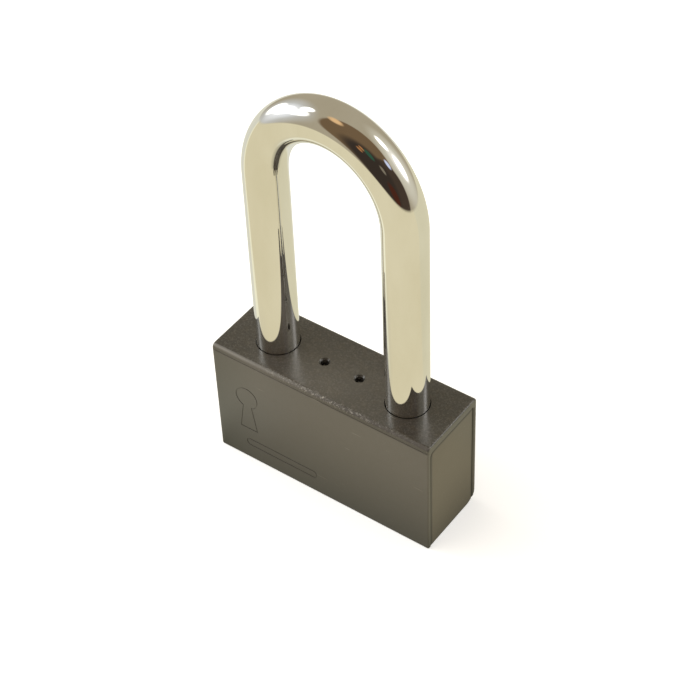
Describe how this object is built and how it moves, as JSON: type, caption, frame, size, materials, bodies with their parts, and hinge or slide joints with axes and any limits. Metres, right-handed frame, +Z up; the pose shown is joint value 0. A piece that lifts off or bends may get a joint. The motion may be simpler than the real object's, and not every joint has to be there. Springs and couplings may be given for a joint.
{
  "type": "padlock",
  "caption": "Long-shackle padlock: chromed round shackle held by steel balls, rectangular black sleeve over a lock block, sprung pin cylinder turned from below.",
  "frame": {"origin": "middle of the case's bottom, on the surface that the padlock stands on", "axes": "+X along the case from the heel leg to the toe leg, -Y out of the case's front, +Z up along the shackle's legs"},
  "size_m": [0.065, 0.021, 0.1174],
  "materials": {
    "black_coat": "satin black coating with a fine speckle, slightly glossy",
    "black_block": "satin black coating on machined steel",
    "chrome": "bright chrome plating",
    "hard_steel": "ground hardened steel",
    "spring_steel": "drawn wire, oiled",
    "zinc_steel": "dull zinc plate",
    "nickel_silver": "turned nickel silver",
    "brass": "machined brass"
  },
  "bodies": {
    "case": {"case_sleeve": "black_coat", "lock_block": "black_block", "bottom_plate": "black_block", "cylinder_housing": "brass", "sleeve_pin_left": "zinc_steel", "sleeve_pin_right": "zinc_steel", "shackle_retaining_pin": "hard_steel", "shackle_spring": "spring_steel", "bottom_screw_left": "zinc_steel", "bottom_screw_right": "zinc_steel", "chamber_cap_1": "brass", "chamber_cap_2": "brass", "chamber_cap_3": "brass", "chamber_cap_4": "brass", "chamber_cap_5": "brass", "pin_spring_1": "spring_steel", "pin_spring_2": "spring_steel", "pin_spring_3": "spring_steel", "pin_spring_4": "spring_steel", "pin_spring_5": "spring_steel"},
    "shackle": {"shackle": "chrome"},
    "plug": {"plug": "nickel_silver", "plug_circlip": "spring_steel", "tailpiece": "hard_steel", "ball_cam": "hard_steel"},
    "ball_left": {"locking_ball_left": "hard_steel"},
    "ball_right": {"locking_ball_right": "hard_steel"},
    "key_pin_1": {"key_pin_1": "brass"},
    "driver_pin_1": {"driver_pin_1": "nickel_silver"},
    "key_pin_2": {"key_pin_2": "brass"},
    "driver_pin_2": {"driver_pin_2": "nickel_silver"},
    "key_pin_3": {"key_pin_3": "brass"},
    "driver_pin_3": {"driver_pin_3": "nickel_silver"},
    "key_pin_4": {"key_pin_4": "brass"},
    "driver_pin_4": {"driver_pin_4": "nickel_silver"},
    "key_pin_5": {"key_pin_5": "brass"},
    "driver_pin_5": {"driver_pin_5": "nickel_silver"}
  },
  "joints": [
    {"name": "shackle_lift", "type": "slide", "parent": "case", "child": "shackle", "axis": [0, 0, 1], "range_m": [0, 0.014], "deforming": ["shackle_spring"]},
    {"name": "plug_turn", "type": "hinge", "parent": "case", "child": "plug", "pos_m": [0, 0, 0.012], "axis": [0, 0, 1], "range_deg": [-90, 0]},
    {"name": "ball_left_slide", "type": "slide", "parent": "case", "child": "ball_left", "axis": [-1, 0, 0], "range_m": [0, 0.002]},
    {"name": "ball_right_slide", "type": "slide", "parent": "case", "child": "ball_right", "axis": [1, 0, 0], "range_m": [0, 0.002]},
    {"name": "key_pin_1_slide", "type": "slide", "parent": "plug", "child": "key_pin_1", "axis": [1, 0, 0], "range_m": [-0.0009, 0]},
    {"name": "driver_pin_1_slide", "type": "slide", "parent": "case", "child": "driver_pin_1", "axis": [1, 0, 0], "range_m": [0, 0.0015], "stiffness_N_per_m": 100, "deforming": ["pin_spring_1"]},
    {"name": "key_pin_2_slide", "type": "slide", "parent": "plug", "child": "key_pin_2", "axis": [1, 0, 0], "range_m": [-0.0009, 0]},
    {"name": "driver_pin_2_slide", "type": "slide", "parent": "case", "child": "driver_pin_2", "axis": [1, 0, 0], "range_m": [0, 0.0015], "stiffness_N_per_m": 100, "deforming": ["pin_spring_2"]},
    {"name": "key_pin_3_slide", "type": "slide", "parent": "plug", "child": "key_pin_3", "axis": [1, 0, 0], "range_m": [-0.0009, 0]},
    {"name": "driver_pin_3_slide", "type": "slide", "parent": "case", "child": "driver_pin_3", "axis": [1, 0, 0], "range_m": [0, 0.0015], "stiffness_N_per_m": 100, "deforming": ["pin_spring_3"]},
    {"name": "key_pin_4_slide", "type": "slide", "parent": "plug", "child": "key_pin_4", "axis": [1, 0, 0], "range_m": [-0.0009, 0]},
    {"name": "driver_pin_4_slide", "type": "slide", "parent": "case", "child": "driver_pin_4", "axis": [1, 0, 0], "range_m": [0, 0.0015], "stiffness_N_per_m": 100, "deforming": ["pin_spring_4"]},
    {"name": "key_pin_5_slide", "type": "slide", "parent": "plug", "child": "key_pin_5", "axis": [1, 0, 0], "range_m": [-0.0009, 0]},
    {"name": "driver_pin_5_slide", "type": "slide", "parent": "case", "child": "driver_pin_5", "axis": [1, 0, 0], "range_m": [0, 0.0015], "stiffness_N_per_m": 100, "deforming": ["pin_spring_5"]}
  ],
  "couplings": [
    {"joint": "ball_left_slide", "follows": "plug_turn", "m_per_rad": -0.0012732},
    {"joint": "ball_right_slide", "follows": "plug_turn", "m_per_rad": -0.0012732}
  ]
}
